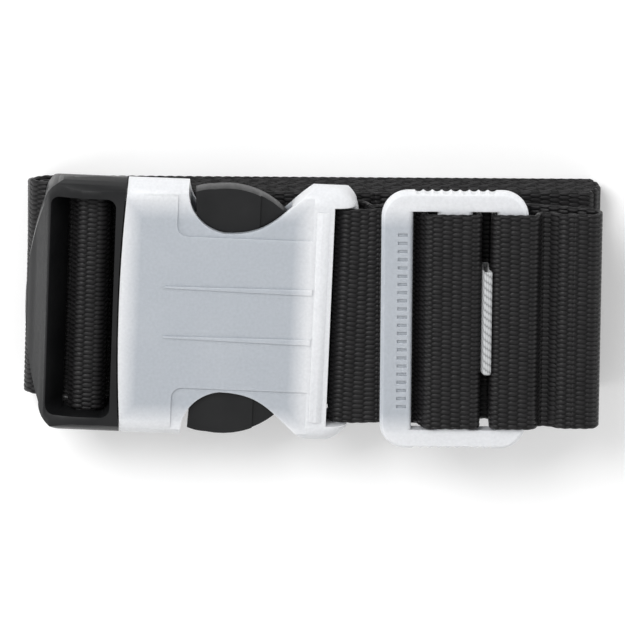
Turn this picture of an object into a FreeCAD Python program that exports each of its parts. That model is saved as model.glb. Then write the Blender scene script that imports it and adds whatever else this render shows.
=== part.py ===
"""Luggage strap, folded for storage: flat 50 mm webbing, a side-release buckle and a three-bar slider.

Row frame, in millimetres: the strap lies flat, +Z up, with the folded runs of webbing underneath and the
buckle and the slider on top. +X runs along the webbing from the buckle to the slider, and the origin is
on the resting plane, near the middle of the folded strap.

The webbing is one length. It starts sewn round the slider's centre bar, goes round the buckle's socket
bar, comes back under the slider and over its right bar, folds back at the right end and slopes down to
the bundle, where it is folded to and fro. From the lowest run it wraps up round the bundle's left end to
the plug half of the buckle. It is cut into nodes only where a stretch of it has to move or bend with a
joint.
"""

import FreeCAD, Part
import math
import os

Vector = FreeCAD.Vector

# ---------------------------------------------------------------- driving dimensions
# Webbing
web_width = 50.0
web_thickness = 1.1
web_gap = 0.1  # air between two runs that lie on each other
web_side_clearance = 0.4  # each side of the webbing in a slot
bar_clearance = 0.15  # between the webbing and a bar that it goes round
cut_gap = 0.05  # half the gap where one webbing node ends and the next begins
tight_bend = 1.4  # centreline radius where the webbing turns hard round a slider bar

# Bundle: where each fold of the runs under the buckle lies, from the highest fold down
left_folds = [-58.8, -60.9, -61.2, -60.8, -58.4]
right_folds = [62.6, 63.8, 64.3, 64.1, 63.0]
left_wrap = -63.5  # the centreline of the wrap round the bundle's left end
left_wrap_bend = 5.0  # below, and above where it turns in to the plug
left_wrap_upper_bend = 3.4
upper_fold = 64.1  # where the run over the slider folds back, and its height there
upper_fold_height = 4.4
slope_foot = 17.0  # where the run that slopes down from the upper fold reaches the bundle
wrap_crest_height = 1.0  # how far the wrap's crest lies under the hump over the slider

# Buckle, along its own axis from the free side of the socket's bar
buckle_turn = -2.0  # degrees about +Z, how the buckle lies on the bundle
buckle_turn_x = 5.0
buckle_lift = 0.8  # between the bundle and the buckle
socket_end = 9.7
socket_bar_width = 3.8
socket_bar_height = 6.0
socket_bar_rise = 1.0  # the bar's middle above the buckle's middle plane
bar_corner = 1.6
slot_play = 0.35
band_width = 4.5
cavity_depth = 41.3
end_wall = 1.3
mouth_bulge = 1.2
frame_side = 4.4  # plastic beside the webbing slots
shell_height = 14.0
shell_wall = 1.8
shell_round = 4.2
tunnel_wall = 4.8  # plastic beside the cavity
side_crest = 2.9  # how far above the middle plane the buckle's sides stand out most
side_lean_up = 2.4  # how far the sides lean in from there to the front face, and to the back face
side_lean_down = 3.1
latch_depth = 2.4  # how far an arm's shoulder stands out past the cavity's side
mouth_gap = 0.35
plug_clearance = 0.3

# Windows in the socket: places along the axis, measured back from the band's inner edge
window_near = 27.6
window_low = 19.6
window_depth = 11.4
wing_crest = 2.2  # from the band's inner edge to the wing's widest place
undercut = 0.31  # how far the walls of a window and an arm lean in, for each unit down
relief_start = 30.3
relief_inset = 7.8
relief_depth = 0.4
rib_spread = 5.8
rib_start = 32.6
rib_height = 0.4

# Plug
plug_length = 21.0  # from the socket's mouth to the end bar's outer edge
plug_end_bulge = 3.6
plug_corner = 6.5
opening_corner = 2.1
plug_bar_width = 5.8
plug_bar_height = 4.2
plug_bar_drop = 0.3
plug_bar_setback = 2.5  # from the plug's base wall to the bar
end_bar_crest = 4.6
end_bar_height = 5.6
end_bar_floor = 4.6
base_depth = 4.6
tongue_half = 6.6
tongue_tip_half = 5.0
tongue_height = 3.2
tongue_setback = 2.6
knuckle_radius = 2.2
knuckle_inset = 5.6  # from the cavity's side to the arm's pivot
knuckle_play = 0.05
arm_height_clearance = 0.3
arm_beam = 2.7
arm_squeeze = 12.0  # degrees

# Slider
slider_bars = [7.0, 7.8, 7.0]
slider_slots = [5.4, 5.4]
slider_height = 3.2
slider_corner = 6.0
slider_gap = 5.8  # from the socket to the slider
slider_float = 0.25
slider_rim_bevel = 0.7
slider_bar_round = 1.1
grip_bumps = 8
grip_pitch = 2.04
grip_depth = 0.55
tooth_pitch = 1.9
tooth_width = 0.75
tooth_length = 2.2
tooth_depth = 0.45

# Label and stitches
label_width = 24.0
label_thickness = 0.35
label_gap = 0.05
label_rise = 0.8  # how far the label's fold stands above the hump's centreline
stitch_length = 2.2
stitch_space = 1.2
stitch_thickness = 0.5
stitch_rise = 0.1  # how far a stitch stands above the webbing

# ---------------------------------------------------------------- places worked out from them
run_pitch = web_thickness + web_gap
half_web = web_thickness / 2
slot_half = web_width / 2 + web_side_clearance
buckle_half = slot_half + frame_side
stack_runs = 2 * len(left_folds) + 1
stack_top = stack_runs * run_pitch
buckle_mid = stack_top + buckle_lift + shell_height / 2

bar_wrap = bar_clearance + half_web
socket_bar_left = socket_end - socket_bar_width
socket_slot_left = socket_bar_left - bar_clearance - web_thickness - slot_play
band_left = socket_slot_left - band_width
mouth = band_left - end_wall - cavity_depth
cavity_half = buckle_half - tunnel_wall
cavity_height = shell_height - 2 * shell_wall

plug_shoulder = mouth - mouth_gap
plug_end = mouth - plug_length
base_left = plug_shoulder - 1.0
plug_bar_right = base_left - plug_bar_setback
plug_bar_left = plug_bar_right - plug_bar_width
base_right = mouth + base_depth
knuckle_x = base_right - 0.6
knuckle_y = cavity_half - knuckle_inset
arm_height = cavity_height - 2 * arm_height_clearance

leg_z = buckle_mid + socket_bar_rise + socket_bar_height / 2 + bar_wrap
slider_floor = leg_z + half_web + slider_float
slider_top = slider_floor + slider_height
slider_left = socket_end + slider_gap
slot1_left = slider_left + slider_bars[0]
slot1_right = slot1_left + slider_slots[0]
slot2_left = slot1_right + slider_bars[1]
slot2_right = slot2_left + slider_slots[1]
slider_right = slot2_right + slider_bars[2]
hump_z = slider_top + bar_wrap
tail_z = leg_z - run_pitch
label_upper = tail_z - half_web - stitch_rise - label_gap - label_thickness / 2
label_lower = label_upper - label_thickness - label_gap
running_z = label_lower - label_thickness / 2 - web_gap - half_web
legs_cut = slider_left - 0.4
lead_cut = plug_bar_left - 7.4  # where the left end's wrap ends above
floor_cut = left_wrap + left_wrap_bend + 1.0  # and below
loop_down = slot2_left + 1.35  # where the sewn end goes down through the second slot
seam_end = slider_left + 1.2  # how far back under the slider the seam reaches
hump_right = slider_right + half_web + 1.2
hump_cut = hump_right + 1.6
crest_cut = hump_cut + 6.8


# ---------------------------------------------------------------- shape helpers
def prism(points, low, high):
    """A solid with a plan outline of (x, y) points joined by straight lines, from z = low to z = high."""
    wire = Part.makePolygon([Vector(x, y, low) for x, y in points] + [Vector(*points[0], low)])
    return Part.Face(wire).extrude(Vector(0, 0, high - low))


def box(x0, x1, y0, y1, z0, z1):
    return Part.makeBox(x1 - x0, y1 - y0, z1 - z0, Vector(x0, y0, z0))


def arc(a, b, c):
    return Part.Arc(Vector(*a), Vector(*b), Vector(*c)).toShape()


def line(a, b):
    return Part.LineSegment(Vector(*a), Vector(*b)).toShape()


def soft_corner(start, elbow, end):
    """A rounded corner between two sides that would meet at the elbow, tangent to both."""
    a, m, b = Vector(*start), Vector(*elbow), Vector(*end)
    fullness = 0.5523
    curve = Part.BezierCurve()
    curve.setPoles([a, a + (m - a) * fullness, b + (m - b) * fullness, b])
    return curve.toShape()


def edges_where(shape, test):
    return [e for e in shape.Edges if test(e)]


def is_upright(edge):
    """True for a straight edge along Z."""
    a, b = edge.Vertexes[0].Point, edge.Vertexes[-1].Point
    return abs(a.x - b.x) < 1e-6 and abs(a.y - b.y) < 1e-6 and abs(a.z - b.z) > 1e-6


def is_straight(edge):
    return isinstance(edge.Curve, (Part.Line, Part.LineSegment))


def rounded_bar(x0, x1, z0, z1, half_length, corner):
    """A bar along Y with a rounded rectangular section."""
    bar = box(x0, x1, -half_length, half_length, z0, z1)
    along = edges_where(bar, lambda e: abs(e.Vertexes[0].Y - e.Vertexes[-1].Y) > 1e-6)
    return bar.makeFillet(min(corner, 0.48 * (x1 - x0), 0.48 * (z1 - z0)), along)


def ribbon(route, width, thickness):
    """Webbing of that width and thickness along a route in the XZ plane.

    The route is a list of (x, z, bend radius): straight runs joined by tangent arcs, as the centreline
    of the webbing. The radii at its two ends aren't used.
    """
    spans, here = [], Vector(route[0][0], 0, route[0][1])
    for before, corner, after in zip(route, route[1:], route[2:]):
        p = Vector(corner[0], 0, corner[1])
        to = (p - Vector(before[0], 0, before[1])).normalize()
        on = (Vector(after[0], 0, after[1]) - p).normalize()
        turn = math.atan2(to.cross(on).y, to.dot(on))
        if abs(turn) < 1e-6:
            continue
        setback = corner[2] * abs(math.tan(turn / 2))
        start, end = p - to * setback, p + on * setback
        middle = p + (on - to).normalize() * (corner[2] / math.cos(turn / 2) - corner[2])
        if (start - here).Length > 1e-4:
            spans.append((here, None, start, to, to))
        spans.append((start, middle, end, to, on))
        here = end
    last = Vector(route[-1][0], 0, route[-1][1])
    direction = (last - here).normalize()
    spans.append((here, None, last, direction, direction))

    def side(distance):
        """The edges of one face of the webbing, that far to the side of the centreline."""
        shifted = []
        for a, m, b, to, on in spans:
            p = a + Vector(to.z, 0, -to.x) * distance
            q = b + Vector(on.z, 0, -on.x) * distance
            if m is None:
                shifted.append(Part.LineSegment(p, q).toShape())
            else:
                mid = to + on
                mid.normalize()
                r = m + Vector(mid.z, 0, -mid.x) * distance
                shifted.append(Part.Arc(p, r, q).toShape())
        return shifted

    top, bottom = side(thickness / 2), side(-thickness / 2)
    caps = [
        Part.LineSegment(top[0].firstVertex(True).Point, bottom[0].firstVertex(True).Point).toShape(),
        Part.LineSegment(top[-1].lastVertex(True).Point, bottom[-1].lastVertex(True).Point).toShape(),
    ]
    wire = Part.Wire(Part.__sortEdges__(top + bottom + caps))
    face = Part.Face(wire)
    face.translate(Vector(0, -width / 2, 0))
    return face.extrude(Vector(0, width, 0))


def turned(shape):
    """Turns a piece that is drawn straight so that it lines up with the buckle's axis."""
    placed = shape.copy()
    placed.rotate(Vector(buckle_turn_x, 0, 0), Vector(0, 0, 1), buckle_turn)
    return placed


def on_bundle(shape):
    """Puts a piece of the buckle, made about the buckle's own middle, where it lies on the bundle."""
    placed = shape.copy()
    placed.translate(Vector(0, 0, buckle_mid))
    return turned(placed)


def trimmed(shape, left=-200.0, right=200.0):
    """What is left of a piece between two planes across X."""
    return shape.common(box(left, right, -100, 100, -50, 100))


# ---------------------------------------------------------------- webbing
def run_height(run):
    """The centreline height of one of the bundle's runs, counted from 1 at the bottom."""
    return half_web + (run - 1) * run_pitch


def stack_route():
    """The runs under the buckle, to and fro from the sloping run's foot down to the left end's wrap."""
    bend = run_pitch / 2
    run = stack_runs
    route = [(slope_foot - 3.0, run_height(run), 0)]
    for left, right in zip(left_folds, right_folds):
        route += [(left, run_height(run), bend), (left, run_height(run - 1), bend)]
        route += [(right, run_height(run - 1), bend), (right, run_height(run - 2), bend)]
        run -= 2
    route.append((floor_cut, run_height(1), 0))
    return route


def lower_leg_z():
    return stack_top + web_gap + half_web


def folded_webbing():
    return ribbon(stack_route(), web_width, web_thickness)


def upper_return():
    """The run that comes off the slider, folds back at the right end and slopes down to the bundle."""
    crest = hump_z - wrap_crest_height
    fold_bend = 0.46 * upper_fold_height
    route = [
        (crest_cut + cut_gap, crest, 0),
        (upper_fold - 0.3, crest, fold_bend),
        (upper_fold, crest - upper_fold_height, fold_bend),
        (slope_foot, run_height(stack_runs), 12.0),
        (slope_foot - 3.0 + 2 * cut_gap, run_height(stack_runs), 0),
    ]
    return ribbon(route, web_width, web_thickness)


def wrap_lead():
    """The stretch from the hump over the slider to the upper fold, dipping between them."""
    crest = hump_z - wrap_crest_height
    valley = slider_floor + 1.1
    route = [
        (hump_cut + cut_gap, valley, 0),
        (hump_cut + 1.6, valley, 2.4),
        (crest_cut - 2.4, crest, 2.4),
        (crest_cut - cut_gap, crest, 0),
    ]
    return ribbon(route, web_width, web_thickness)


def slider_run():
    """The running webbing that goes with the slider: under two bars, up, and over the right one."""
    valley = slider_floor + 1.1
    up = slot2_right - bar_wrap
    route = [
        (legs_cut + cut_gap, running_z, 0),
        (up, running_z, tight_bend),
        (up, hump_z, tight_bend),
        (hump_right, hump_z, tight_bend),
        (hump_right + 0.5, valley, 1.0),
        (hump_cut - cut_gap, valley, 0),
    ]
    return ribbon(route, web_width, web_thickness)


def slider_loop():
    """The sewn end: over the slider's centre bar and back under it to the leg that it is sewn to."""
    up = slot1_left + 1.2
    turn_under = slot1_left + 2.6
    route = [
        (legs_cut + cut_gap, leg_z, 0),
        (up, leg_z, tight_bend),
        (up + 2.4, hump_z, tight_bend),
        (loop_down + 0.7, hump_z, tight_bend),
        (loop_down, slider_top - 1.6, 2.0),
        (loop_down, leg_z, tight_bend),
        (turn_under + 3.0, leg_z, 3.0),
        (turn_under, tail_z, 3.0),
        (seam_end, tail_z, 0),
    ]
    return ribbon(route, web_width, web_thickness)


def adjuster_legs():
    """The webbing round the socket's bar, with a leg above and a leg below."""
    left = socket_bar_left - bar_wrap
    low = buckle_mid + socket_bar_rise - socket_bar_height / 2 - bar_wrap
    bend = bar_corner + bar_wrap
    route = [
        (legs_cut + 2.0, leg_z, 0),
        (left, leg_z, bend),
        (left, low, bend),
        (socket_end + 0.9, low, 1.0),
        (legs_cut - 1.9, running_z, 1.0),
        (legs_cut + 2.0, running_z, 0),
    ]
    legs = turned(ribbon(route, web_width, web_thickness))
    return trimmed(legs, right=legs_cut - cut_gap)


def left_end_wrap():
    """The wrap round the bundle's left end, from the lowest run up to the plug's lower leg."""
    route = [
        (floor_cut - 2 * cut_gap, run_height(1), 0),
        (left_wrap, run_height(1), left_wrap_bend),
        (left_wrap, lower_leg_z(), left_wrap_upper_bend),
        (lead_cut - 2 * cut_gap, lower_leg_z(), 0),
    ]
    return ribbon(route, web_width, web_thickness)


def plug_loop():
    """The webbing sewn round the plug's bar, with both legs leaving under the end bar."""
    left, right = plug_bar_left - bar_wrap, plug_bar_right + bar_wrap
    high = buckle_mid - plug_bar_drop + plug_bar_height / 2 + bar_wrap
    bend = bar_corner + bar_wrap
    route = [
        (lead_cut - 3.0, lower_leg_z(), 0),
        (right, lower_leg_z(), bend),
        (right, high, bend),
        (left, high, bend),
        (left, lower_leg_z() + run_pitch, bend),
        (lead_cut - 3.0, lower_leg_z() + run_pitch, 0),
    ]
    loop = turned(ribbon(route, web_width, web_thickness))
    return trimmed(loop, left=lead_cut + 2 * cut_gap)


def label():
    """A folded woven tape, caught in the seam, whose fold stands up in the slider's second slot."""
    inner = loop_down + half_web + 0.25 + label_thickness / 2
    outer = slot2_right - bar_clearance - web_thickness - 0.3 - label_thickness / 2
    top = hump_z + label_rise
    shoulder = slider_top - 0.8
    route = [
        (seam_end, label_upper, 0),
        (inner, label_upper, 0.4),
        (inner, shoulder, 2.0),
        (inner + 0.5, top, 0.6),
        (outer + 0.9, top, 0.6),
        (outer, shoulder, 2.0),
        (outer, label_lower, 0.4),
        (seam_end, label_lower, 0),
    ]
    return ribbon(route, label_width, label_thickness)


def stitch_rows(x_places, under, over):
    """Stitches across the webbing: threads that lie on the seam's lower and upper face."""
    pitch = stitch_length + stitch_space
    count = int((web_width - 6.0) // pitch)
    solids = []
    for x in x_places:
        x0, x1 = x - stitch_thickness / 2, x + stitch_thickness / 2
        for n in range(count):
            y0 = (n - (count - 1) / 2) * pitch - stitch_length / 2
            solids.append(box(x0, x1, y0, y0 + stitch_length, over, over + stitch_rise))
            solids.append(box(x0, x1, y0, y0 + stitch_length, under - stitch_rise, under))
    return Part.makeCompound(solids)


def plug_stitches():
    rows = [plug_bar_left - 5.3, plug_bar_left - 3.5]
    under = lower_leg_z() - half_web
    return turned(stitch_rows(rows, under, under + run_pitch + web_thickness))


def slider_stitches():
    rows = [seam_end + 1.0, seam_end + 3.4]
    return stitch_rows(rows, tail_z - half_web, leg_z + half_web)


# ---------------------------------------------------------------- socket (the translucent half)
def mouth_edge(offset):
    """The bulging mouth edge, as three plan points, moved along the axis by offset."""
    side = mouth + mouth_bulge + offset
    return (side, -buckle_half, 0), (mouth + offset, 0, 0), (side, buckle_half, 0)


def hull(shape):
    """The shape, a buckle half, with its sides rounded in towards the front and back faces."""
    half = shell_height / 2
    widest = buckle_half - 0.2
    above = half + 1.0
    front = widest - side_lean_up
    back = widest - side_lean_down
    middle = (side_crest - half) / 2
    x = plug_end - 5.0
    edges = []
    for side in (1, -1):
        edges += [
            arc(
                (x, side * back, -half),
                (x, side * ((back + widest) / 2 + 0.35), middle),
                (x, side * widest, side_crest),
            ),
            arc(
                (x, side * widest, side_crest),
                (x, side * ((front + widest) / 2 + 0.45), (half + side_crest) / 2),
                (x, side * front, half),
            ),
            line((x, side * front, half), (x, side * front, above)),
            line((x, side * back, -above), (x, side * back, -half)),
        ]
    edges += [
        line((x, front, above), (x, -front, above)),
        line((x, back, -above), (x, -back, -above)),
    ]
    section = Part.Face(Part.Wire(Part.__sortEdges__(edges)))
    return shape.common(section.extrude(Vector(socket_end + 5.0 - x, 0, 0)))


def socket_outline():
    """The socket's outer plan: straight sides, and rounded wings at the bar's end."""
    low, tip, high = mouth_edge(0)
    wing_x = band_left + wing_crest
    wing_tip = slot_half - 2.6
    edges = [
        arc(low, tip, high),
        line(high, (wing_x, buckle_half, 0)),
        soft_corner((wing_x, buckle_half, 0), (socket_end, buckle_half, 0), (socket_end, wing_tip, 0)),
        line((socket_end, wing_tip, 0), (socket_end, -wing_tip, 0)),
        soft_corner((socket_end, -wing_tip, 0), (socket_end, -buckle_half, 0), (wing_x, -buckle_half, 0)),
        line((wing_x, -buckle_half, 0), low),
    ]
    return Part.Face(Part.Wire(edges))


def window_cut(side):
    """The scoop that bares an arm on one side: steep at the latch, long and easy towards the wing."""
    near = band_left - window_near
    low_x = band_left - window_low
    crest = band_left + wing_crest + 1.0
    out = buckle_half + 1.0
    bottom = buckle_half - window_depth
    steep = arc((near, out, 0), (near + 1.9, bottom + 3.3, 0), (low_x, bottom, 0))
    easy = Part.BSplineCurve()
    easy.interpolate(
        [
            Vector(low_x, bottom, 0),
            Vector(low_x + 8.0, bottom + 1.5, 0),
            Vector(low_x + 14.2, bottom + 6.2, 0),
            Vector(low_x + 19.6, bottom + 10.8, 0),
            Vector(crest, buckle_half + 0.15, 0),
        ],
        InitialTangent=Vector(1, 0, 0),
        FinalTangent=Vector(1.0, 0.1, 0),
    )
    close = [line((crest, buckle_half + 0.15, 0), (crest, out, 0)), line((crest, out, 0), (near, out, 0))]
    face = Part.Face(Part.Wire([steep, easy.toShape()] + close))
    cut = face.extrude(Vector(0, 0, shell_height)).fuse(face.extrude(Vector(0, 0, -shell_height)))
    lean = face.extrude(Vector(0, -undercut * shell_height, -shell_height))
    cut = cut.fuse(lean.common(box(low_x + 5.0, crest, 0, out, -shell_height, 0)))
    if side < 0:
        cut = cut.mirror(Vector(0, 0, 0), Vector(0, 1, 0))
    return cut


def relief_cut(side, face):
    """The shallow step round a window, on the front (face = 1) or back (face = -1) of the socket."""
    x0, x1 = band_left - relief_start, band_left
    y0 = buckle_half - frame_side - relief_inset
    z = face * shell_height / 2
    cut = box(x0, x1, y0, buckle_half + 1, z - relief_depth, z + relief_depth)
    corner = edges_where(
        cut, lambda e: is_upright(e) and abs(e.Vertexes[0].X - x0) < 1e-6 and e.Vertexes[0].Y < y0 + 1e-6
    )
    cut = cut.makeFillet(2.4, corner)
    return cut if side > 0 else cut.mirror(Vector(0, 0, 0), Vector(0, 1, 0))


def taper_rib(side, face):
    """A long wedge-shaped rib on the socket's face, widening from the mouth to the band."""
    y = side * rib_spread
    points = [
        (band_left - rib_start, y - 0.2),
        (band_left + 0.2, y - 0.65),
        (band_left + 0.2, y + 0.65),
        (band_left - rib_start, y + 0.2),
    ]
    top = shell_height / 2
    rib = prism(points, top - 0.5, top + rib_height)
    return rib if face > 0 else rib.mirror(Vector(0, 0, 0), Vector(0, 0, 1))


def tongue_guides():
    """Two rails on each inner face that keep the plug's tongue in the middle."""
    inner = cavity_height / 2
    rails = []
    for side in (1, -1):
        y = side * (tongue_half + 1.4)
        for face in (1, -1):
            low, high = sorted((face * (inner + 0.3), face * (inner - 1.8)))
            rails.append(box(band_left - 30.0, band_left - end_wall + 0.2, y - 0.6, y + 0.6, low, high))
    return rails


def socket():
    half = shell_height / 2
    slab = socket_outline()
    slab.translate(Vector(0, 0, -half))
    body = slab.extrude(Vector(0, 0, shell_height))
    rim = edges_where(
        body, lambda e: abs(abs(e.CenterOfMass.z) - half) < 1e-6 and e.CenterOfMass.x > mouth + 1.2
    )
    body = body.makeFillet(shell_round, [e for e in rim if e.CenterOfMass.x < socket_end - 1e-3])
    body = body.fuse(
        rounded_bar(band_left, band_left + band_width - 0.4, -half - 0.5, half + 0.5, slot_half - 1.0, 1.9)
    )
    for face in (1, -1):
        for side in (1, -1):
            body = body.cut(relief_cut(side, face))
            body = body.fuse(taper_rib(side, face))
    # the cavity, and the scooped windows at its sides
    cavity = box(
        mouth - 1, band_left - end_wall, -cavity_half, cavity_half, -cavity_height / 2, cavity_height / 2
    )
    cavity = cavity.makeFillet(
        4.0, edges_where(cavity, lambda e: is_upright(e) and e.Vertexes[0].X > band_left - end_wall - 1)
    )
    body = body.cut(cavity)
    for side in (1, -1):
        body = body.cut(window_cut(side))
    for rail in tongue_guides():
        body = body.fuse(rail)
    # the webbing's slot, and the bar at the end, lower than the shell
    body = body.cut(box(socket_slot_left, socket_end + 1, -slot_half, slot_half, -half - 2, half + 2))
    bar = rounded_bar(
        socket_bar_left,
        socket_end,
        socket_bar_rise - socket_bar_height / 2,
        socket_bar_rise + socket_bar_height / 2,
        slot_half + 1.0,
        bar_corner,
    )
    body = body.fuse(bar.common(slab.extrude(Vector(0, 0, shell_height))))
    return hull(body).removeSplitter()


# ---------------------------------------------------------------- plug (the black half)
def plug_outline():
    """The plug frame's outer plan, from the shoulder that meets the socket to the bulging end bar."""
    low, tip, high = mouth_edge(-mouth_gap)
    corner_x = plug_end + plug_end_bulge
    end_y = buckle_half - plug_corner
    bend = 0.29 * plug_corner
    upper = [
        line(high, (corner_x + plug_corner, buckle_half - 0.4, 0)),
        arc(
            (corner_x + plug_corner, buckle_half - 0.4, 0),
            (corner_x + bend, buckle_half - 0.4 - bend, 0),
            (corner_x, end_y - 0.4, 0),
        ),
    ]
    end = arc((corner_x, end_y - 0.4, 0), (plug_end, 0, 0), (corner_x, -end_y + 0.4, 0))
    lower = [
        arc(
            (corner_x, -end_y + 0.4, 0),
            (corner_x + bend, -buckle_half + 0.4 + bend, 0),
            (corner_x + plug_corner, -buckle_half + 0.4, 0),
        ),
        line((corner_x + plug_corner, -buckle_half + 0.4, 0), low),
    ]
    return Part.Face(Part.Wire([arc(low, tip, high)] + upper + [end] + lower))


def plug_profile():
    """The plug frame's side view, thick at the shoulder and rounded off at the end bar."""
    half = shell_height / 2
    right = plug_shoulder + mouth_bulge + 1
    edges = [
        line((right, 0, half), (right - 6.0, 0, half)),
        arc(
            (right - 6.0, 0, half),
            (plug_end + 8.0, 0, end_bar_height + 0.75),
            (plug_end + 3.2, 0, end_bar_height - 1.1),
        ),
        arc(
            (plug_end + 3.2, 0, end_bar_height - 1.1),
            (plug_end - 0.2, 0, 0.4),
            (plug_end + 2.6, 0, -end_bar_floor),
        ),
        line((plug_end + 2.6, 0, -end_bar_floor), (plug_bar_left - 1.0, 0, -end_bar_floor)),
        line((plug_bar_left - 1.0, 0, -end_bar_floor), (right - 5.0, 0, -half)),
        line((right - 5.0, 0, -half), (right, 0, -half)),
        line((right, 0, -half), (right, 0, half)),
    ]
    return Part.Face(Part.Wire(edges))


def plug_opening():
    """What is cut out of the plug for the webbing: a ramp down the end bar, then straight through."""
    half = shell_height / 2 + 1
    crest = plug_end + end_bar_crest
    ramp_foot = plug_bar_left - bar_clearance - web_thickness - 1.2
    edges = [
        arc((crest, 0, half), (crest + 1.5, 0, 2.4), (ramp_foot, 0, -end_bar_floor + 1.6)),
        line((ramp_foot, 0, -end_bar_floor + 1.6), (ramp_foot, 0, -half)),
        line((ramp_foot, 0, -half), (base_left, 0, -half)),
        line((base_left, 0, -half), (base_left, 0, half)),
        line((base_left, 0, half), (crest, 0, half)),
    ]
    face = Part.Face(Part.Wire(edges))
    face.translate(Vector(0, -slot_half, 0))
    cut = face.extrude(Vector(0, 2 * slot_half, 0))
    cut = cut.makeFillet(
        opening_corner, edges_where(cut, lambda e: is_upright(e) and abs(e.Vertexes[0].X - base_left) < 1e-6)
    )
    ramp_ends = edges_where(
        cut, lambda e: abs(abs(e.CenterOfMass.y) - slot_half) < 1e-6 and not is_straight(e)
        and e.CenterOfMass.x < ramp_foot
    )
    return cut.makeFillet(opening_corner, ramp_ends)


def tongue():
    """The flat middle tongue that steers the plug into the socket, with a rib down each face."""
    tip = band_left - end_wall - tongue_setback
    half = tongue_height / 2
    blade = prism(
        [
            (base_right - 1, -tongue_half),
            (tip - 5, -tongue_half),
            (tip, -tongue_tip_half),
            (tip, tongue_tip_half),
            (tip - 5, tongue_half),
            (base_right - 1, tongue_half),
        ],
        -half,
        half,
    )
    spine_half = cavity_height / 2 - 0.5
    spine = box(base_right - 1, tip - 3, -1.2, 1.2, -spine_half, spine_half)
    return blade.fuse(spine)


def plug():
    outline = plug_outline()
    outline.translate(Vector(0, 0, -shell_height))
    profile = plug_profile()
    profile.translate(Vector(0, -buckle_half - 1, 0))
    frame = outline.extrude(Vector(0, 0, 2 * shell_height)).common(
        profile.extrude(Vector(0, 2 * buckle_half + 2, 0))
    )
    frame = hull(frame).cut(plug_opening())
    bar = rounded_bar(
        plug_bar_left,
        plug_bar_right,
        -plug_bar_drop - plug_bar_height / 2,
        -plug_bar_drop + plug_bar_height / 2,
        slot_half + 1.0,
        bar_corner,
    )
    frame = frame.fuse(bar)
    # the base that fills the socket's mouth, with a seat for each arm's root
    half_y, half_z = cavity_half - plug_clearance, cavity_height / 2 - plug_clearance
    base = box(base_left, base_right, -half_y, half_y, -half_z, half_z)
    base = base.makeFillet(0.6, edges_where(base, lambda e: abs(e.CenterOfMass.x - base_right) < 1e-6))
    frame = frame.fuse(base)
    for side in (1, -1):
        seat = Part.makeCylinder(
            knuckle_radius + knuckle_play,
            shell_height,
            Vector(knuckle_x, side * knuckle_y, -shell_height / 2),
        )
        frame = frame.cut(seat)
    return frame.fuse(tongue()).removeSplitter()


def arm(side):
    """A springy arm: a round root, a beam, and a broad head with the latch shoulder and finger pad."""
    shoulder_x = band_left - window_near + 1.1
    shoulder_y = cavity_half + latch_depth
    tip_x = band_left - 3.2
    inner_y = buckle_half - window_depth - 1.6
    beam = arm_beam / 2
    outline = [
        line((knuckle_x, knuckle_y - beam, 0), (shoulder_x - 3.0, inner_y + 0.6, 0)),
        line((shoulder_x - 3.0, inner_y + 0.6, 0), (shoulder_x + 2.0, inner_y, 0)),
        line((shoulder_x + 2.0, inner_y, 0), (tip_x - 5.0, inner_y, 0)),
        arc(
            (tip_x - 5.0, inner_y, 0),
            (tip_x - 0.2, inner_y + 1.4, 0),
            (tip_x - 1.4, inner_y + 4.2, 0),
        ),
        arc(
            (tip_x - 1.4, inner_y + 4.2, 0),
            (band_left - 13.6, shoulder_y + 0.2, 0),
            (shoulder_x + 4.2, shoulder_y + 0.8, 0),
        ),
        arc(
            (shoulder_x + 4.2, shoulder_y + 0.8, 0),
            (shoulder_x + 1.8, shoulder_y + 0.55, 0),
            (shoulder_x, shoulder_y, 0),
        ),
        line((shoulder_x, shoulder_y, 0), (shoulder_x + 0.5, knuckle_y + beam + 0.6, 0)),
        line((shoulder_x + 0.5, knuckle_y + beam + 0.6, 0), (shoulder_x - 2.0, knuckle_y + beam + 0.2, 0)),
        line((shoulder_x - 2.0, knuckle_y + beam + 0.2, 0), (knuckle_x, knuckle_y + beam, 0)),
        line((knuckle_x, knuckle_y + beam, 0), (knuckle_x, knuckle_y - beam, 0)),
    ]
    face = Part.Face(Part.Wire(outline))
    upper = arm_height / 2
    body = face.extrude(Vector(0, 0, upper)).fuse(
        face.extrude(Vector(0, 0, -upper)).common(face.extrude(Vector(0, -undercut * upper, -upper)))
    )
    # the head's far end is thinner, to slip under the shell
    step = box(
        band_left - 12.0, tip_x + 1, inner_y - 1, buckle_half + 1, arm_height / 2 - 0.6, arm_height / 2 + 1
    )
    body = body.cut(step).cut(step.mirror(Vector(0, 0, 0), Vector(0, 0, 1)))
    root = Part.makeCylinder(knuckle_radius, arm_height, Vector(knuckle_x, knuckle_y, -arm_height / 2))
    body = body.fuse(root).removeSplitter()
    return body if side > 0 else body.mirror(Vector(0, 0, 0), Vector(0, 1, 0))


# ---------------------------------------------------------------- slider
def is_slot_rim(edge):
    """True for a long slot edge on the slider's front or back face."""
    a, b = edge.Vertexes[0].Point, edge.Vertexes[-1].Point
    on_face = min(abs(a.z - slider_top), abs(a.z - slider_floor)) < 1e-6 and abs(a.z - b.z) < 1e-6
    across = abs(a.x - b.x) < 1e-6 and abs(abs(a.y - b.y) - 2 * slot_half) < 1e-6
    return on_face and across


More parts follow.
